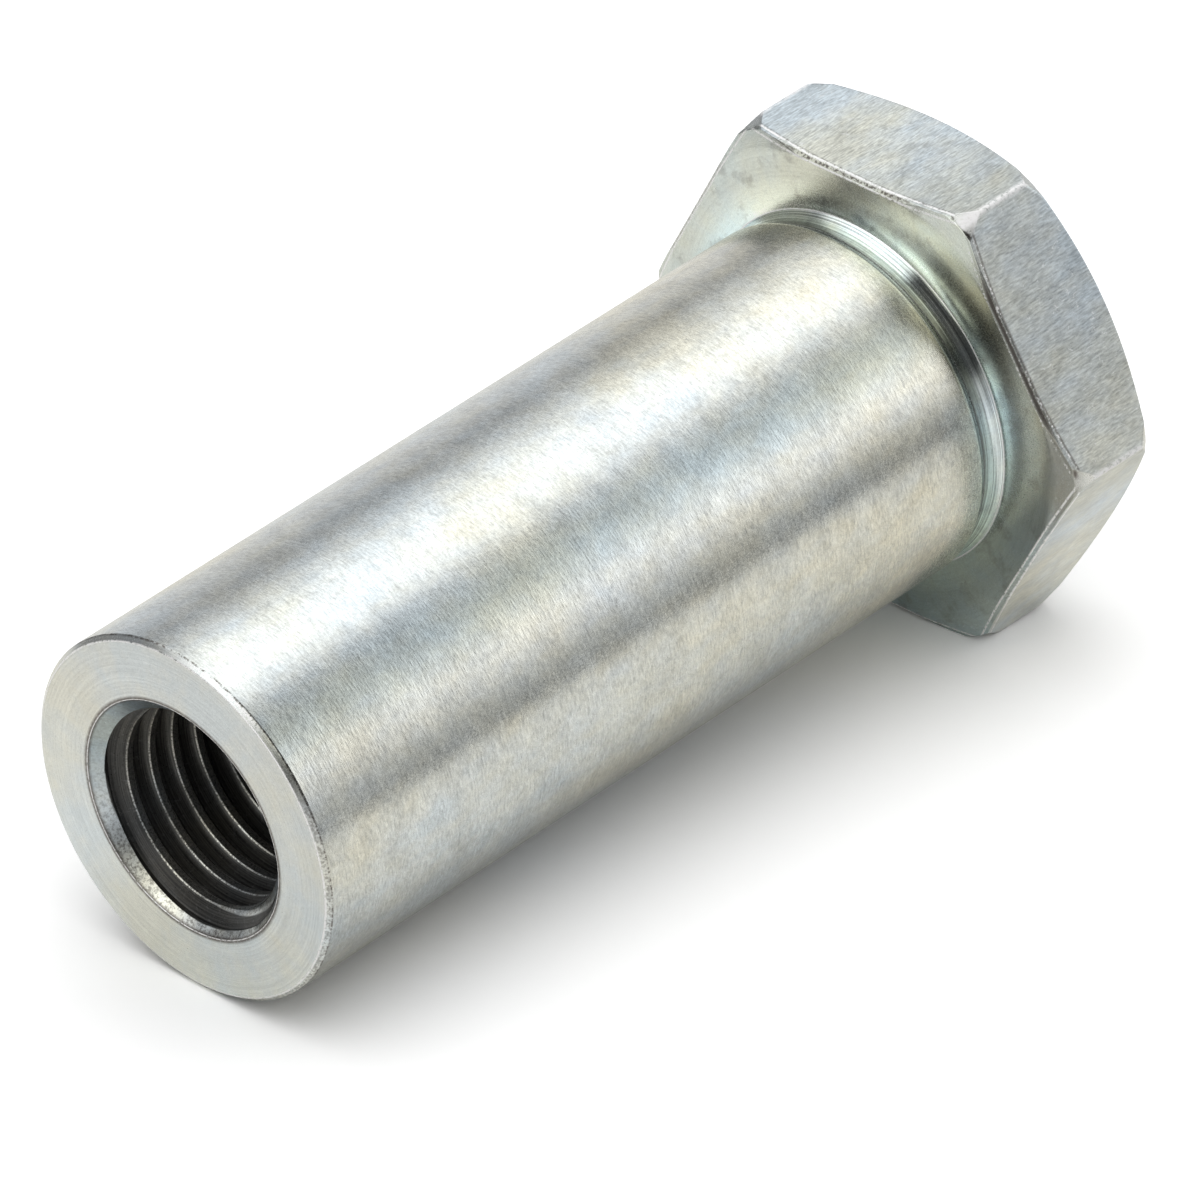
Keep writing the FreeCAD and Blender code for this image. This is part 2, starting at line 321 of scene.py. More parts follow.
class Nodes:
    """Adds nodes to a tree and joins them: a socket is linked, a value is set."""

    def __init__(self, tree):
        self.tree = tree

    def add(self, kind, inputs=(), **settings):
        node = self.tree.nodes.new(kind)
        for name, value in settings.items():
            setattr(node, name, value)
        for key, value in dict(inputs).items():
            self.feed(node.inputs[key], value)
        return node

    def feed(self, socket, value):
        if isinstance(value, bpy.types.NodeSocket):
            self.tree.links.new(value, socket)
        else:
            socket.default_value = value

    def math(self, operation, a, b=0.0, c=0.0, clamp=False):
        """One operation on up to three values."""
        node = self.add("ShaderNodeMath", {0: a, 1: b, 2: c}, operation=operation)
        node.use_clamp = clamp
        return node.outputs[0]

    def times(self, first, *others):
        """The product of all the values."""
        for value in others:
            first = self.math("MULTIPLY", first, value)
        return first

    def most(self, first, *others):
        """The largest of all the values."""
        for value in others:
            first = self.math("MAXIMUM", first, value)
        return first

    def without(self, value, mask):
        """The value where the mask is 0, and nothing where it is 1."""
        return self.times(value, self.math("SUBTRACT", 1, mask))

    def between(self, value, low, high, to_low=0.0, to_high=1.0, smooth=False):
        """A stretch of values mapped to another and held at its ends."""
        kind = "SMOOTHSTEP" if smooth else "LINEAR"
        node = self.add("ShaderNodeMapRange", {
            "Value": value, "From Min": low, "From Max": high,
            "To Min": to_low, "To Max": to_high}, interpolation_type=kind)
        return node.outputs[0]

    def blend(self, factor, a, b, mode="MIX"):
        """The first colour where the factor is 0, the second where it is 1."""
        node = self.add("ShaderNodeMix", data_type="RGBA", blend_type=mode)
        self.feed(node.inputs[0], factor)
        self.feed(node.inputs[6], a)
        self.feed(node.inputs[7], b)
        return node.outputs[2]

    def noise(self, vector, scale, detail=2.0, rough=0.5, distortion=0.0):
        """Smooth noise round one half."""
        return self.add("ShaderNodeTexNoise", {
            "Vector": vector, "Scale": scale, "Detail": detail, "Roughness": rough,
            "Distortion": distortion}).outputs[0]


def new_group(name, inputs, outputs):
    """An empty node group with float or vector inputs and the named outputs."""
    group = bpy.data.node_groups.new(name, "ShaderNodeTree")
    for label, kind in inputs:
        group.interface.new_socket(label, in_out="INPUT", socket_type=kind)
    for label, kind in outputs:
        group.interface.new_socket(label, in_out="OUTPUT", socket_type=kind)
    nodes = Nodes(group)
    return group, nodes, nodes.add("NodeGroupInput"), nodes.add("NodeGroupOutput")


def own_axes_group():
    """Object coordinates to the bushing's own, in millimetres, and round its axis.

    Turned runs fast across the tool marks and slowly round the axis: place along
    plus radius first, then the direction out from the axis. Flat is the distance
    out to the nearest pair of flats, and Ridge how far that leads over the next.
    """
    group, n, start, end = new_group("own_axes", [("Place", "NodeSocketVector")], [
        ("Own", "NodeSocketVector"), ("Turned", "NodeSocketVector"),
        ("Along", "NodeSocketFloat"), ("Out", "NodeSocketFloat"),
        ("Flat", "NodeSocketFloat"), ("Ridge", "NodeSocketFloat")])
    own = n.add("ShaderNodeMapping", {
        "Vector": start.outputs["Place"], "Location": tuple(NOSE_CENTRE),
        "Rotation": (0, -TILT, 0), "Scale": (MM, MM, MM)}, vector_type="TEXTURE").outputs[0]
    parts = n.add("ShaderNodeSeparateXYZ", {0: own}).outputs
    out = n.math("SQRT", n.math("ADD", n.times(parts[1], parts[1]), n.times(parts[2], parts[2])))
    turned = n.add("ShaderNodeCombineXYZ", {
        0: n.math("ADD", parts[0], out), 1: n.math("DIVIDE", parts[1], out),
        2: n.math("DIVIDE", parts[2], out)}).outputs[0]
    pairs = []
    for k in range(3):
        facing = (0, math.cos(SECTOR * (k + 0.5)), math.sin(SECTOR * (k + 0.5)))
        dot = n.add("ShaderNodeVectorMath", {0: own, 1: facing}, operation="DOT_PRODUCT")
        pairs.append(n.math("ABSOLUTE", dot.outputs["Value"]))
    high = n.math("MAXIMUM", pairs[0], pairs[1])
    low = n.math("MINIMUM", pairs[0], pairs[1])
    flat = n.math("MAXIMUM", high, pairs[2])
    second = n.math("MAXIMUM", low, n.math("MINIMUM", high, pairs[2]))
    for label, socket in (("Own", own), ("Turned", turned), ("Along", parts[0]), ("Out", out),
                          ("Flat", flat), ("Ridge", n.math("SUBTRACT", flat, second))):
        n.feed(end.inputs[label], socket)
    return group


def zones_group():
    """Which surface of the bushing a point is on, from where it lies.

    Shank is the running surface, Relief the polished neck, Face the turned ends,
    Flats the hexagon's sides, Bore all inside the mouths, Cone the countersinks.
    """
    names = ["Shank", "Relief", "Face", "Flats", "Bore", "Cone"]
    group, n, start, end = new_group("zones", [
        ("Along", "NodeSocketFloat"), ("Out", "NodeSocketFloat"), ("Flat", "NodeSocketFloat")],
        [(name, "NodeSocketFloat") for name in names])
    along, out, flat = (start.outputs[k] for k in ("Along", "Out", "Flat"))
    bore = n.between(out, MOUTH_MM - 0.03, MOUTH_MM, 1, 0)
    body = n.times(n.between(along, LENGTH_MM - 0.03, LENGTH_MM - 0.01, 1, 0),
                   n.between(out, MOUTH_MM + 3, MOUTH_MM + 4))
    round_side = n.times(body, n.between(along, CHAMFER_MM - 0.04, CHAMFER_MM + 0.02))
    start_relief = LENGTH_MM - RELIEF_WIDTH / MM
    relief = n.times(round_side, n.between(along, start_relief, start_relief + 0.12))
    shank = n.math("SUBTRACT", round_side, relief)
    flats = n.without(n.between(flat, FLATS_MM - 0.08, FLATS_MM - 0.02), body)
    face = n.math("SUBTRACT", 1, n.most(round_side, flats, bore))
    inner = n.math("MINIMUM", along, n.math("SUBTRACT", OVERALL_MM, along))
    off = n.math("ABSOLUTE", n.math("SUBTRACT", n.math("ADD", out, inner), MOUTH_MM))
    cone = n.times(bore, n.between(off, 0.03, 0.08, 1, 0))
    for name, value in zip(names, (shank, relief, face, flats, bore, cone)):
        n.feed(end.inputs[name], value)
    return group


def edges_group():
    """Lines along the turned and milled edges, painted highlights and stains broken up as a worn
    plated burr.

    Light is a painted highlight on the thin crest of an edge, Dark the stained line beside it, and
    Matt where the crest is too rough to mirror. Places and widths are in millimetres.
    """
    group, n, start, end = new_group("edge_lines", [
        ("Own", "NodeSocketVector"), ("Along", "NodeSocketFloat"), ("Out", "NodeSocketFloat"),
        ("Flat", "NodeSocketFloat"), ("Ridge", "NodeSocketFloat")],
        [("Light", "NodeSocketFloat"), ("Dark", "NodeSocketFloat"),
         ("Matt", "NodeSocketFloat")])
    own, along, out, flat, ridge = (
        start.outputs[k] for k in ("Own", "Along", "Out", "Flat", "Ridge"))
    across, up = n.add("ShaderNodeSeparateXYZ", {0: own}).outputs[1:]
    chips = n.noise(own, 2.6, 3.0, 0.7)
    dots = n.noise(own, 4.0, 2.0, 0.6)
    brk = NEAR_BREAK / MM

    def line(a, b, width):
        """A soft line where two distances are both nothing."""
        away = n.math("SQRT", n.math("ADD", n.times(a, a), n.times(b, b)))
        return n.between(away, width * 0.35, width, 1, 0)

    def turned_line(place, radius, width):
        """A line round the axis."""
        return line(n.math("SUBTRACT", along, place), n.math("SUBTRACT", out, radius), width)

    def head_line(distance, width, shift=0.0):
        """A line along the flats' near edges and over the clipped corners."""
        cone = n.times(n.math("SUBTRACT", out, CLIP_RADIUS / MM), CLIP_SLOPE)
        face = n.math("ADD", n.math("MAXIMUM", cone, 0), LENGTH_MM + shift)
        away = n.math("SUBTRACT", along, n.math("ADD", face, distance - FLATS_MM + brk))
        return line(away, n.math("SUBTRACT", flat, distance), width)

    # Painted highlights along the edges' crests: between flats, round the nose and the mouth, and
    # along the head's near edges.
    lateral = n.times(n.between(along, LENGTH_MM + 0.02, LENGTH_MM + 0.06),
                      n.between(flat, FLATS_MM - 0.16, FLATS_MM - 0.08),
                      n.between(ridge, 0.10, 0.42, 0.9, 0))
    crest = n.most(turned_line(0, RADIUS_MM - CHAMFER_MM, 0.12),
                   head_line(FLATS_MM, 0.18, -0.04),
                   head_line(FLATS_MM - brk, 0.12),
                   turned_line(0, MOUTH_MM, 0.07),
                   lateral)
    stain = n.most(turned_line(CHAMFER_MM, RADIUS_MM, 0.14),
                   head_line(FLATS_MM + 0.10, 0.20),
                   head_line(FLATS_MM - brk / 2, 0.24),
                   turned_line(0, MOUTH_MM, 0.26))

    # Painted highlights on the worn facets of the head's near corners, brightest on the one that
    # faces the lamps.
    facet_start = LENGTH_MM + (CORNER_RADIUS - CLIP_RADIUS) / MM * CLIP_SLOPE
    slope = n.times(n.math("SUBTRACT", out, CORNER_RADIUS / MM), CORNER_SLOPE)
    off = n.math("ABSOLUTE", n.math("SUBTRACT", n.math("SUBTRACT", along, facet_start), slope))
    upper = n.times(n.between(across, 3, -2), n.between(up, 8, 12))
    facet_highlight = n.times(n.between(off, 0.0, 0.32, 1, 0),
                    n.between(out, CORNER_RADIUS / MM, CORNER_RADIUS / MM + 0.05),
                    n.between(upper, 0, 1, 0.25, 1),
                    n.between(chips, 0.34, 0.48, 0.65, 1))

    # The two near edges of the head on the photograph's side: dots above, a rub below.
    side = n.times(n.between(across, -10.2, -12.0), n.between(along, LENGTH_MM - 1, LENGTH_MM))
    rubbed = n.times(side, n.between(up, 0.5, -1.0))
    dotted = n.times(side, n.between(up, -1.0, 0.5),
                     n.between(along, LENGTH_MM + 1.2, LENGTH_MM + 1.8, 1, 0))
    # Painted glints: white dots along the top of the nose's chamfer, towards the -y side.
    nose = n.times(n.between(across, -1, -4), n.between(across, -10, -8.5),
                   n.between(up, 9, 11), n.between(dots, 0.42, 0.50),
                   turned_line(CHAMFER_MM * 0.6, RADIUS_MM - CHAMFER_MM * 0.4, 0.26))
    # A painted highlight round the neck's outer lip.
    lip_highlight = n.times(turned_line(LENGTH_MM, RADIUS_MM + 0.02, 0.10),
                  n.between(chips, 0.30, 0.50, 0.4, 0.9))
    broken = n.math("ADD", n.without(n.between(chips, 0.36, 0.50), dotted),
                    n.times(n.between(dots, 0.54, 0.60, 0, 0.85), dotted))
    light = n.most(facet_highlight, nose, lip_highlight, n.times(crest, broken))
    n.feed(end.inputs["Light"], light)
    n.feed(end.inputs["Matt"], n.most(facet_highlight, lateral, n.times(light, 0.55)))

    # Stain beside the edges, round the mouth of the bore and on the nose's rim.
    stain = n.times(stain, n.most(n.between(dots, 0.42, 0.56, 1, 0.15), dotted),
                    n.math("MULTIPLY_ADD", rubbed, -0.7, 1.0))
    ring = n.times(turned_line(-0.02, MOUTH_MM + 0.03, 0.36),
                   n.between(chips, 0.3, 0.5, 0.5, 1.0))
    rim = n.times(turned_line(CHAMFER_MM / 2, RADIUS_MM - CHAMFER_MM / 2, 0.30),
                  n.between(dots, 0.44, 0.56, 0.6, 0),
                  n.between(up, 9, 7), n.between(across, 0, -6))
    n.feed(end.inputs["Dark"], n.without(n.most(stain, ring, rim), facet_highlight))
    return group


def scaled(nodes, vector, factors):
    """A vector multiplied by three factors."""
    return nodes.add("ShaderNodeVectorMath", {0: vector, 1: factors},
                     operation="MULTIPLY").outputs[0]


def turning_group():
    """Tool marks: fine lines round the axis, broken into short streaks by the plating."""
    group, n, start, end = new_group("turning_marks", [
        ("Turned", "NodeSocketVector"), ("Out", "NodeSocketFloat")], [
        ("Lines", "NodeSocketFloat"), ("Streaks", "NodeSocketFloat"),
        ("Clouds", "NodeSocketFloat"), ("Fine", "NodeSocketFloat"),
        ("Flanks", "NodeSocketFloat"), ("Cuts", "NodeSocketFloat")])
    turned = start.outputs["Turned"]
    n.feed(end.inputs["Lines"], n.noise(scaled(n, turned, (7.0, 0.9, 0.9)), 1.0, 2.0, 0.65))
    n.feed(end.inputs["Streaks"], n.noise(scaled(n, turned, (5.0, 26.0, 26.0)), 1.0, 2.0, 0.6))
    cuts = n.noise(scaled(n, turned, (6.2, 17.0, 17.0)), 1.0, 1.0, 0.5)
    n.feed(end.inputs["Cuts"], n.between(cuts, 0.36, 0.30))
    n.feed(end.inputs["Clouds"], n.noise(scaled(n, turned, (0.45, 4.5, 4.5)), 1.0, 3.0, 0.6))
    heading = n.add("ShaderNodeSeparateXYZ", {0: turned}).outputs
    flank = n.add("ShaderNodeCombineXYZ", {0: start.outputs["Out"], 1: heading[1], 2: heading[2]})
    flank = scaled(n, flank.outputs[0], (9.0, 1.2, 1.2))
    n.feed(end.inputs["Flanks"], n.noise(flank, 1.0, 2.0, 0.7))
    n.feed(end.inputs["Fine"], n.noise(scaled(n, turned, (5.2, 0.9, 0.9)), 1.0, 2.0, 0.7))
    return group


def tint_group():
    """The clear passivation's faint colours: pools of blue, yellow and green."""
    group, n, start, end = new_group("passivation_tint", [
        ("Own", "NodeSocketVector"), ("Amount", "NodeSocketFloat")],
        [("Color", "NodeSocketColor")])
    own = start.outputs["Own"]
    wide = n.noise(scaled(n, own, (0.06, 0.11, 0.11)), 1.0, 2.0, 0.5)
    small = n.noise(scaled(n, own, (0.3, 0.5, 0.5)), 1.0, 2.0, 0.6)
    patch = n.math("ADD", n.times(wide, 0.7), n.times(small, 0.3))
    hue = n.add("ShaderNodeValToRGB", {0: patch})
    stops = hue.color_ramp.elements
    stops[0].position, stops[0].color = 0.38, (0.92, 1.00, 1.07, 1)
    stops[1].position, stops[1].color = 0.62, (1.06, 1.02, 0.88, 1)
    for position, color in ((0.46, (0.98, 1.01, 1.01, 1)), (0.54, (1.02, 1.02, 0.95, 1))):
        stops.new(position).color = color
    tint = n.blend(start.outputs["Amount"], (1, 1, 1, 1), hue.outputs[0])
    n.feed(end.inputs["Color"], tint)
    return group


def grain_group():
    """The zinc's own surface: fine crystals in bright and dark specks, and light wear."""
    group, n, start, end = new_group("zinc_grain", [("Own", "NodeSocketVector")], [
        ("Specks", "NodeSocketFloat"), ("Mottle", "NodeSocketFloat"),
        ("Strokes", "NodeSocketFloat"), ("Scratches", "NodeSocketFloat")])
    own = start.outputs["Own"]
    n.feed(end.inputs["Specks"], n.noise(own, 6.5, 2.0, 0.7))
    n.feed(end.inputs["Mottle"], n.noise(scaled(n, own, (0.35, 0.5, 0.5)), 1.0, 2.0, 0.6))
    strokes = None
    for turn in ((0.3, 0.5, 0.4), (0.9, -0.4, 1.0), (-0.6, 0.9, -0.5)):
        tipped = n.add("ShaderNodeMapping", {
            "Vector": own, "Rotation": turn, "Scale": (1.2, 6.4, 6.4)}).outputs[0]
        layer = n.noise(tipped, 1.0, 1.0, 0.6)
        strokes = n.math("ADD", strokes, layer) if strokes else layer
    n.feed(end.inputs["Strokes"], n.math("DIVIDE", strokes, 3.0))
    scratches = None
    for k, factors in enumerate(((0.5, 1.7, 1.1), (1.5, 0.4, 1.3))):
        lines = n.noise(scaled(n, own, factors), 1.0, 1.0, 0.4, 0.5 + k)
        thin = n.math("ABSOLUTE", n.math("SUBTRACT", lines, 0.5))
        seen = n.between(thin, 0.0, 0.010, 1.0, 0.0)
        scratches = n.math("MAXIMUM", scratches, seen) if scratches else seen
    gate = n.between(n.noise(own, 1.7, 1.0, 0.6), 0.52, 0.62)
    n.feed(end.inputs["Scratches"], n.times(scratches, gate))
    return group


# The metal's base colours, by where they lie.
COLOURS = {name: (*rgb, 1) for name, rgb in {
    "turned": (0.60, 0.608, 0.598),
    "shank by the head": (0.62, 0.61, 0.565),
    "flat": (0.61, 0.632, 0.638),
    "painted light on the lower flat": (0.69, 0.705, 0.705),
    "shaded": (0.20, 0.215, 0.225),
    "upper face": (0.62, 0.645, 0.605),
    "lower face": (0.50, 0.58, 0.60),
    "upper face's painted highlight by the neck": (0.92, 0.99, 0.93),
    "lower face's painted highlight by the neck": (0.78, 0.91, 0.91),
    "blots and painted shade": (0.24, 0.225, 0.21),
    "relief": (0.62, 0.68, 0.70),
    "bore": (0.062, 0.060, 0.057),
    "painted highlight on the thread's crest": (0.62, 0.61, 0.59),
    "upper cone": (0.42, 0.48, 0.53),
    "lower cone": (0.66, 0.66, 0.645),
    "pit": (0.13, 0.12, 0.11),
    "painted light on the lower nose": (0.72, 0.74, 0.735),
    "cut": (0.30, 0.31, 0.31),
    "stain": (0.11, 0.095, 0.085),
    "worn edge and painted highlight": (0.95, 0.94, 0.94),
    "scratch": (0.85, 0.86, 0.87),
}.items()}

# Marks that darken and lighten the metal: the noise levels of the darkest and the
# lightest, the strength, and the zones where it is another.
TONES = [
    ("Streaks", 0.30, 0.70, 0.06, {"shank": 0.17, "face": 0.04, "flats": 0.0}),
    ("Specks", 0.30, 0.70, 0.05, {"shank": 0.14, "face": 0.05, "flats": 0.10}),
    ("Clouds", 0.30, 0.70, 0.03, {"shank": 0.11, "face": 0.03}),
    ("Lines", 0.30, 0.70, 0.04, {"shank": 0.05, "relief": 0.10, "face": 0.08, "flats": 0.0}),
    ("Fine", 0.35, 0.65, 0.0, {"relief": 0.45, "face": 0.03}),
    ("Mottle", 0.30, 0.70, 0.02, {"flats": 0.10}),
    ("Strokes", 0.38, 0.62, 0.06, {"shank": 0.02, "flats": 0.24}),
]

# Marks that raise and lower the surface: the height, and the zones where it is another.
BUMPS = [
    ("Lines", 0.5, {"flats": 0.1}),
    ("Streaks", 0.1, {"shank": 1.05}),
    ("Fine", 0, {"relief": 0.6}),
    ("Specks", 0.12, {"shank": 0.5, "flats": 0.3}),
    ("Strokes", 0, {"flats": 0.75}),
]
BUMP_STRENGTH = 0.35
BUMP_DISTANCE = 0.02 * MM


class Surface:
    """The bushing's surface in its material: where a point lies, and which marks it has."""

    def __init__(self, nodes):
        self.nodes = nodes
        axes = self.use(own_axes_group(), Place=nodes.add("ShaderNodeTexCoord").outputs["Object"])
        self.own, self.along, self.out = (axes[k] for k in ("Own", "Along", "Out"))
        where = {"Along": self.along, "Out": self.out, "Flat": axes["Flat"]}
        self.zone = self.use(zones_group(), **where)
        self.line = self.use(edges_group(), Own=self.own, Ridge=axes["Ridge"], **where)
        turning = self.use(turning_group(), Turned=axes["Turned"], Out=self.out)
        self.marks = {k.name: k for k in (*turning, *self.use(grain_group(), Own=self.own))}
        self.across, self.up = nodes.add("ShaderNodeSeparateXYZ", {0: self.own}).outputs[1:]

    def use(self, group, **inputs):
        node = self.nodes.add("ShaderNodeGroup", node_tree=group)
        for name, value in inputs.items():
            self.nodes.feed(node.inputs[name], value)
        return node.outputs

    def by_zone(self, value, **levels):
        """A value with other levels in the named zones."""
        n = self.nodes
        plain = value
        for name, level in levels.items():
            value = n.math("ADD", value, n.times(self.zone[name.capitalize()], level - plain))
        return value


def shank_and_flats(s):
    """Base colour of the turned shank and the flats, with painted shade where they turn away, on
    the flats that face one way and under the shank, and painted light on the lower flats.
    """
    n = s.nodes
    zinc = n.blend(s.zone["Flats"], COLOURS["turned"], COLOURS["flat"])
    # Painted light: the flats below the axis are painted paler.
    lower = n.times(s.zone["Flats"], n.between(s.up, -2, -12))
    zinc = n.blend(lower, zinc, COLOURS["painted light on the lower flat"])
    # Painted shade: the flats facing one way and the shank's underside are painted darker.
    toward = n.math("MULTIPLY_ADD", s.across, -0.82, n.times(s.up, 0.57))
    side = n.between(n.math("DIVIDE", toward, s.out), 0.62, 0.98, 0, 0.40)
    under = n.between(n.math("DIVIDE", s.up, s.out), -0.16, -0.55, 0, 0.42)
    painted_shade = n.most(n.times(s.zone["Flats"], side), n.times(s.zone["Shank"], under))
    zinc = n.blend(painted_shade, zinc, COLOURS["shaded"])
    warm = n.times(s.zone["Shank"], n.between(s.along, 45, 74, smooth=True))
    return n.blend(warm, zinc, COLOURS["shank by the head"])


def near_face(s, zinc):
    """The head's near face, with a painted highlight by the neck, paler and greener, painted shade
    towards the bottom, and blots with painted shade by one corner.
    """
    n = s.nodes
    face = n.times(s.zone["Face"], n.between(s.along, LENGTH_MM - 0.02, LENGTH_MM - 0.01),
                   n.between(s.along, LENGTH_MM + 1, LENGTH_MM + 2, 1, 0))
    neck = n.between(s.out, RADIUS_MM, RADIUS_MM + 3.5, 1, 0, smooth=True)
    # Painted highlight: the face by the neck is painted paler and greener.
    neck_highlight = n.blend(n.between(s.up, 8, 14), COLOURS["lower face's painted highlight by the neck"],
                      COLOURS["upper face's painted highlight by the neck"])
    # Painted shade: the rest of the face is painted darker and bluer towards the bottom.
    plain = n.blend(n.between(s.up, 3, -9), COLOURS["upper face"], COLOURS["lower face"])
    zinc = n.blend(face, zinc, n.blend(neck, plain, neck_highlight))
    # Painted shade by the corner on the -y side, joined to blots that lie at random.
    corner = n.times(n.between(s.across, -13.0, -17.5, 0, 0.66), n.between(s.out, 19.8, 21.6))
    blots = n.noise(scaled(n, s.own, (0.3, 0.42, 0.42)), 1.0, 3.0, 0.65)
    blots = n.most(corner, n.between(blots, 0.54, 0.68, 0, 0.42))
    return n.blend(n.times(face, blots), zinc, COLOURS["blots and painted shade"])


def bore_and_mouth(s, zinc, crest):
    """The relief, the bore painted dark as shade with painted highlights on the thread's crest, and
    the pitted cones.
    """
    n = s.nodes
    flanks = n.times(n.between(s.marks["Flanks"], 0.35, 0.65, 0.35, 1.6),
                     n.between(s.along, 1.5, 5.0, 0.6, 1.0))
    # Painted shade: the bore is painted near black, varied by the flanks' marks.
    dark = n.add("ShaderNodeCombineColor", {
        k: n.times(flanks, level) for k, level in enumerate(COLOURS["bore"][:3])})
    zinc = n.blend(s.zone["Relief"], zinc, COLOURS["relief"])
    zinc = n.blend(s.zone["Bore"], zinc, dark.outputs[0])
    zinc = n.blend(crest, zinc, COLOURS["painted highlight on the thread's crest"])
    cone = n.blend(n.between(s.up, 2, -6), COLOURS["upper cone"], COLOURS["lower cone"])
    zinc = n.blend(s.zone["Cone"], zinc, cone)
    pits = n.between(n.noise(s.own, 3.6, 2.0, 0.8), 0.38, 0.54, 0.80, 0)
    pits = n.times(s.zone["Cone"], pits, n.between(s.up, 0, -7, 0.25, 0.85))
    return n.blend(pits, zinc, COLOURS["pit"])


def marked(s, zinc):
    """The base colour under the plating's tints and the marks of turning and handling."""
    n = s.nodes
    tint = s.use(tint_group(), Own=s.own, Amount=s.by_zone(0.8, face=0.6))
    fades = {"Lines": n.between(s.along, LENGTH_MM - 0.05, LENGTH_MM - 0.02, 1, 0.4),
             "Strokes": n.between(s.up, -3, 2, 0.4, 1.0)}
    tone = 1.0
    for name, low, high, level, zones in TONES:
        mark = n.times(n.between(s.marks[name], low, high, -1, 1), s.by_zone(level, **zones))
        if name in fades:
            mark = n.times(mark, fades[name])
        tone = n.math("ADD", tone, mark)
    grey = n.add("ShaderNodeCombineColor", {0: tone, 1: tone, 2: tone}).outputs[0]
    zinc = n.blend(1.0, zinc, tint["Color"], "MULTIPLY")
    zinc = n.blend(1.0, zinc, grey, "MULTIPLY")
    cuts = n.times(s.marks["Cuts"], s.by_zone(0.05, shank=0.38, flats=0.0))
    return n.blend(cuts, zinc, COLOURS["cut"])


def zinc_material():
    """Zinc-plated steel: one metal, with its finish set by the surface's zone."""
    material = bpy.data.materials.new("zinc_plated_steel")
    material.use_nodes = True
    tree = material.node_tree
    tree.nodes.clear()
    n = Nodes(tree)
    s = Surface(n)

    # Painted highlights: thin bright lines at the thread's crest, stronger in the lower half.
    crest = n.math("ABSOLUTE", n.math("SUBTRACT", s.out, MINOR_RADIUS / MM + 0.06))
    crest = n.times(s.zone["Bore"], n.between(crest, 0.02, 0.07, 0.95, 0.0),
                    n.between(s.marks["Specks"], 0.40, 0.56, 0.2, 1.0),
                    n.between(s.up, 4, -4, 0.35, 1.0))
    zinc = bore_and_mouth(s, near_face(s, shank_and_flats(s)), crest)
    # Painted light: the lower part of the nose face is painted paler.
    low = n.times(s.zone["Face"], n.between(s.along, 1, 2, 1, 0), n.between(s.up, 12, -14))
    zinc = marked(s, n.blend(low, zinc, COLOURS["painted light on the lower nose"]))

    # Painted shade: a dark band on the relief's ramp by the shank, in the stain's colour.
    ramp = n.between(s.along, LENGTH_MM - 1.2, LENGTH_MM - 1.9)
    hair = n.times(s.zone["Relief"], n.between(s.marks["Fine"], 0.60, 0.68))
    stain = n.most(n.times(s.line["Dark"], 0.9), n.times(s.zone["Relief"], ramp, 0.85))
    # Painted highlights on the edges, with the relief's hairlines, blended to the white below.
    light = n.most(s.line["Light"], n.times(hair, 0.30))
    scratch = n.times(s.marks["Scratches"], s.by_zone(0.1, face=0.3, flats=0.6))
    zinc = n.blend(stain, zinc, COLOURS["stain"])
    zinc = n.blend(n.times(light, 0.95), zinc, COLOURS["worn edge and painted highlight"])
    zinc = n.blend(scratch, zinc, COLOURS["scratch"])

    rough = s.by_zone(0.24, flats=0.36, face=0.23, relief=0.10, bore=0.30)
    rough = n.math("ADD", rough, n.between(s.marks["Specks"], 0.3, 0.7, -0.04, 0.06))
    rough = n.math("ADD", rough, n.times(light, 0.12), clamp=True)

    height = 0.0
    for name, level, zones in BUMPS:
        height = n.math("ADD", height, n.times(s.marks[name], s.by_zone(level, **zones)))
    bump = n.add("ShaderNodeBump", {
        "Height": height, "Strength": BUMP_STRENGTH, "Distance": BUMP_DISTANCE}).outputs[0]

    burr = n.times(n.most(s.line["Matt"], n.times(hair, 0.08)), 0.95)
    # The bore, painted dark as shade, is partly matt away from the cones and the crest.
    matt_bore = n.times(n.math("SUBTRACT", s.zone["Bore"], n.most(s.zone["Cone"], crest)), 0.6)
    metallic = n.math("SUBTRACT", 1.0, n.most(burr, matt_bore), clamp=True)
    metal = n.add("ShaderNodeBsdfPrincipled", {
        "Base Color": zinc, "Metallic": metallic, "Roughness": rough, "Normal": bump})
    n.add("ShaderNodeOutputMaterial", {"Surface": metal.outputs[0]})
    return material


def heading_vector(heading, rise):
    """Unit vector from a heading, in degrees from +Y towards +X, and a rise over level."""
    a, b = math.radians(heading), math.radians(rise)
    return Vector((math.sin(a) * math.cos(b), math.cos(a) * math.cos(b), math.sin(b)))


# The photograph's view: where the camera stands, where it points, and its roll.
CAMERA_PLACE = Vector((-0.65957, -0.64410, 0.59877))
CAMERA_HEADING = 45.767
CAMERA_RISE = -32.335
CAMERA_ROLL = -0.976
CAMERA_LENS = 410.3


def place_camera():
    """The camera at the photograph's viewing angle, with a long lens."""
    look = heading_vector(CAMERA_HEADING, CAMERA_RISE)
    level = heading_vector(CAMERA_HEADING + 90, 0)
    upright = level.cross(look)
    roll = math.radians(CAMERA_ROLL)
    right = level * math.cos(roll) + upright * math.sin(roll)
    up = right.cross(look)
    data = bpy.data.cameras.new("camera")
    data.lens = CAMERA_LENS
    data.sensor_width = 36
    data.clip_end = 20
    camera = bpy.data.objects.new("camera", data)
    turn = Matrix((right, up, -look)).transposed().to_4x4()
    camera.matrix_world = Matrix.Translation(CAMERA_PLACE) @ turn
    bpy.context.scene.collection.objects.link(camera)
    bpy.context.scene.camera = camera


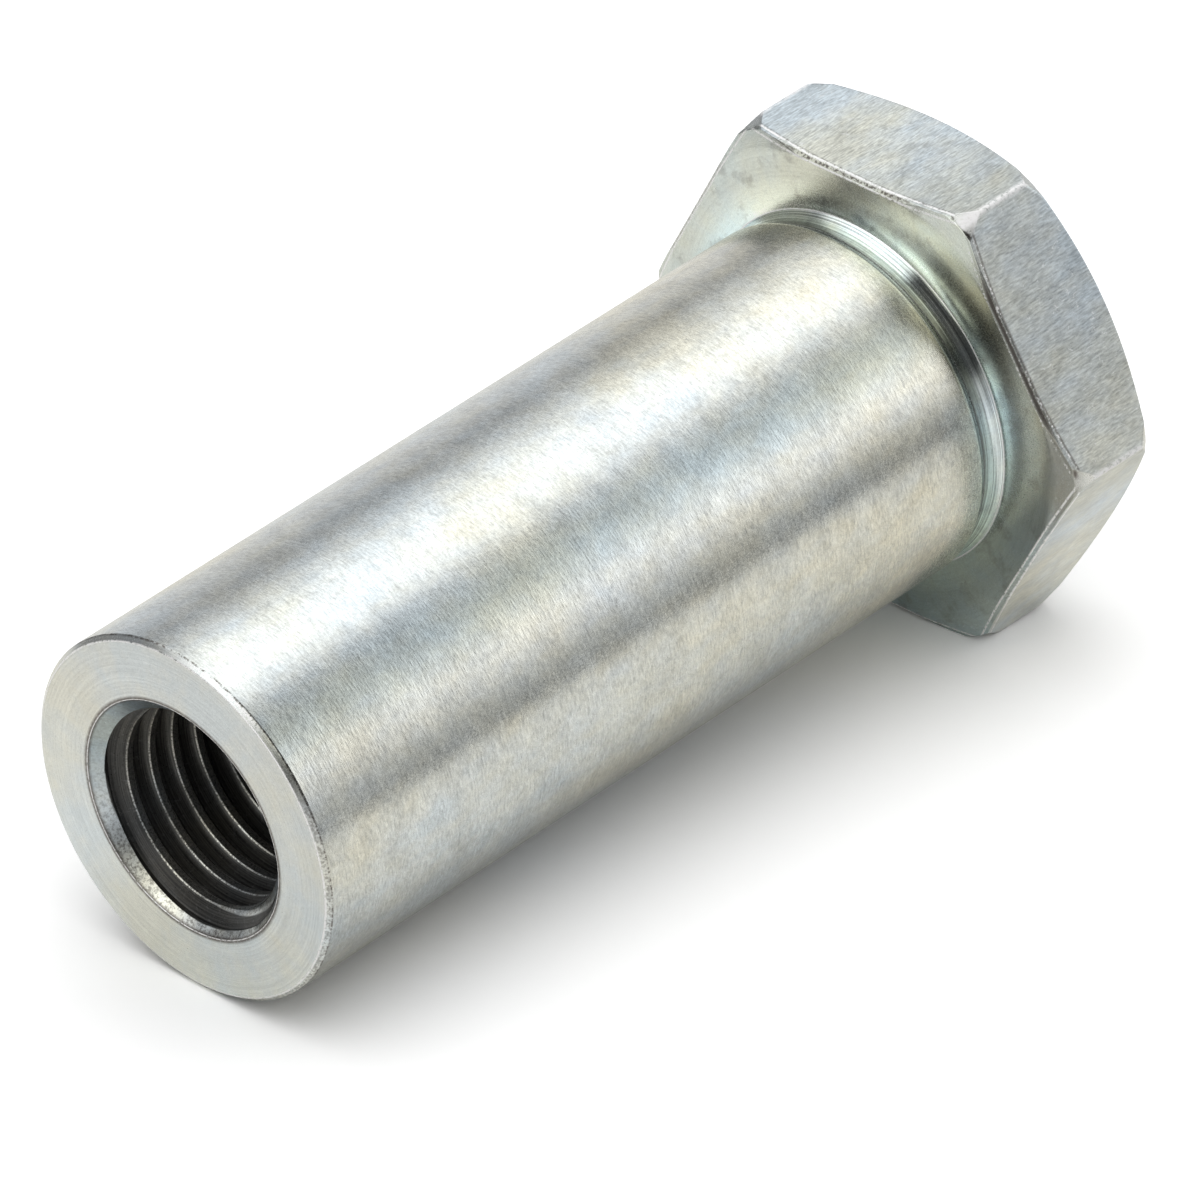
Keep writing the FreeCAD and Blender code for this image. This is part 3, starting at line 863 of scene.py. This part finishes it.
# The studio round the object. Long soft lamps and the gaps between them lie parallel to
# the bushing: each stop is an angle round its axis, from level with +Y over the top,
# the level there and how cool its white is. The half of the room on the nose's side has
# stops of its own, and one lamp: heading, rise, half width and level. The strips fade
# where the axis points, between two cosines, to plain levels: past the head, past the
# nose, and past the nose on the camera's side. What the metal does not mirror is lit by
# a plain dome, from its level on the horizon to its level straight up.
STRIPS = [(0, 0.92, 0), (13, 0.78, 0), (27, 0.46, 0), (44, 0.76, 0.2), (66, 1.50, 0),
          (80, 1.85, 0), (98, 1.40, 0), (110, 1.06, 0.7), (122, 1.06, 1), (134, 1.62, 0.7),
          (147, 2.02, 0), (160, 1.36, 0), (172, 0.64, 0.3), (184, 0.22, 0.3), (200, 0.30, 0),
          (270, 0.80, 0), (340, 0.80, 0)]
NOSE_STRIPS = [(0, 0.30, 0), (34, 0.30, 0), (45, 1.20, 0), (62, 1.75, 0.4), (80, 2.10, 0.4),
               (94, 1.70, 0.4), (105, 0.08, 0), (160, 0.06, 0), (174, 0.50, 0), (190, 0.80, 0),
               (270, 0.80, 0), (340, 0.50, 0)]
NEAR_LAMP = (242, 41, 23, 1.05)
STRIP_ENDS = (0.84, 0.98)
HEAD_END, NOSE_END, CAMERA_END = 0.80, 1.35, 0.12
DOME_LOW, DOME_HIGH = 0.10, 2.0


def grey(level):
    """A neutral colour."""
    return (level, level, level, 1)


def light_studio():
    """World: soft strip lamps with gaps between them, and a white backdrop."""
    world = bpy.data.worlds.new("studio")
    bpy.context.scene.world = world
    world.use_nodes = True
    tree = world.node_tree
    tree.nodes.clear()
    n = Nodes(tree)
    way = n.add("ShaderNodeTexCoord").outputs["Generated"]
    parts = n.add("ShaderNodeSeparateXYZ", {0: way}).outputs
    turn = n.math("DIVIDE", n.math("ARCTAN2", parts[2], parts[1]), math.tau)
    turn = n.math("FRACT", n.math("ADD", turn, 1.0))
    halves = []
    for strips in (NOSE_STRIPS, STRIPS):
        ramp = n.add("ShaderNodeValToRGB", {0: turn})
        ramp.color_ramp.interpolation = "EASE"
        stops = ramp.color_ramp.elements
        colours = [(angle / 360, (level * (1 - 0.09 * cool), level, level * (1 + 0.01 * cool), 1))
                   for angle, level, cool in strips]
        stops[0].position, stops[0].color = colours[0]
        stops[1].position, stops[1].color = 1.0, colours[0][1]
        for position, colour in colours[1:]:
            stops.new(position).color = colour
        halves.append(ramp.outputs[0])
    heading, rise, width, strength = NEAR_LAMP
    dot = n.add("ShaderNodeVectorMath", {0: way, 1: tuple(heading_vector(heading, rise))},
                operation="DOT_PRODUCT")
    lamp = n.between(dot.outputs["Value"], math.cos(math.radians(width)),
                     math.cos(math.radians(width * 0.55)), smooth=True)
    halves[0] = n.blend(lamp, halves[0], (strength, strength, strength * 0.9, 1))
    colour = n.blend(n.between(parts[0], 0.45, 0.55, smooth=True), *halves)
    ends = n.between(n.math("ABSOLUTE", parts[0]), *STRIP_ENDS, smooth=True)
    nose_end = n.blend(n.between(parts[1], 0.0, -0.20), grey(NOSE_END), grey(CAMERA_END))
    plain = n.blend(n.between(parts[0], 0, -0.1), grey(HEAD_END), nose_end)
    colour = n.blend(ends, colour, plain)
    dome = n.between(n.times(parts[2], parts[2]), 0, 1, DOME_LOW, DOME_HIGH)
    dome = n.add("ShaderNodeCombineColor", {0: dome, 1: dome, 2: dome}).outputs[0]
    path = n.add("ShaderNodeLightPath").outputs
    colour = n.blend(path["Is Glossy Ray"], dome, colour)
    studio = n.add("ShaderNodeBackground", {"Color": colour, "Strength": 1.0})
    white = n.add("ShaderNodeBackground", {"Color": grey(1), "Strength": 1.0})
    seen = path["Is Camera Ray"]
    both = n.add("ShaderNodeMixShader", {0: seen, 1: studio.outputs[0], 2: white.outputs[0]})
    n.add("ShaderNodeOutputWorld", {"Surface": both.outputs[0]})


# The floor's half width in metres, and its whites: for light, to the camera, in mirrors.
FLOOR_HALF = 0.16
FLOOR_WHITE = grey(0.86)
FLOOR_SEEN = grey(1.20)
FLOOR_MIRRORED = (0.92, 0.9108, 0.874, 1)


def lay_floor():
    """A plain pale floor, bright enough to be white up to the edge of the shadow."""
    mesh = bpy.data.meshes.new("floor")
    corners = [(x * FLOOR_HALF, y * FLOOR_HALF, 0) for x, y in ((-1, -1), (1, -1), (1, 1), (-1, 1))]
    mesh.from_pydata(corners, [], [(0, 1, 2, 3)])
    floor = bpy.data.objects.new("floor", mesh)
    bpy.context.scene.collection.objects.link(floor)
    material = bpy.data.materials.new("floor")
    material.use_nodes = True
    tree = material.node_tree
    tree.nodes.clear()
    n = Nodes(tree)
    path = n.add("ShaderNodeLightPath").outputs
    colour = n.blend(path["Is Camera Ray"], FLOOR_WHITE, FLOOR_SEEN)
    colour = n.blend(path["Is Glossy Ray"], colour, FLOOR_MIRRORED)
    matt = n.add("ShaderNodeBsdfDiffuse", {"Color": colour})
    n.add("ShaderNodeOutputMaterial", {"Surface": matt.outputs[0]})
    mesh.materials.append(material)


bushing = build_bushing()
bushing.data.materials.append(zinc_material())
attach(bushing, "root")
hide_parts(NODE)

place_camera()
light_studio()
lay_floor()
bpy.context.scene.view_settings.view_transform = "Standard"
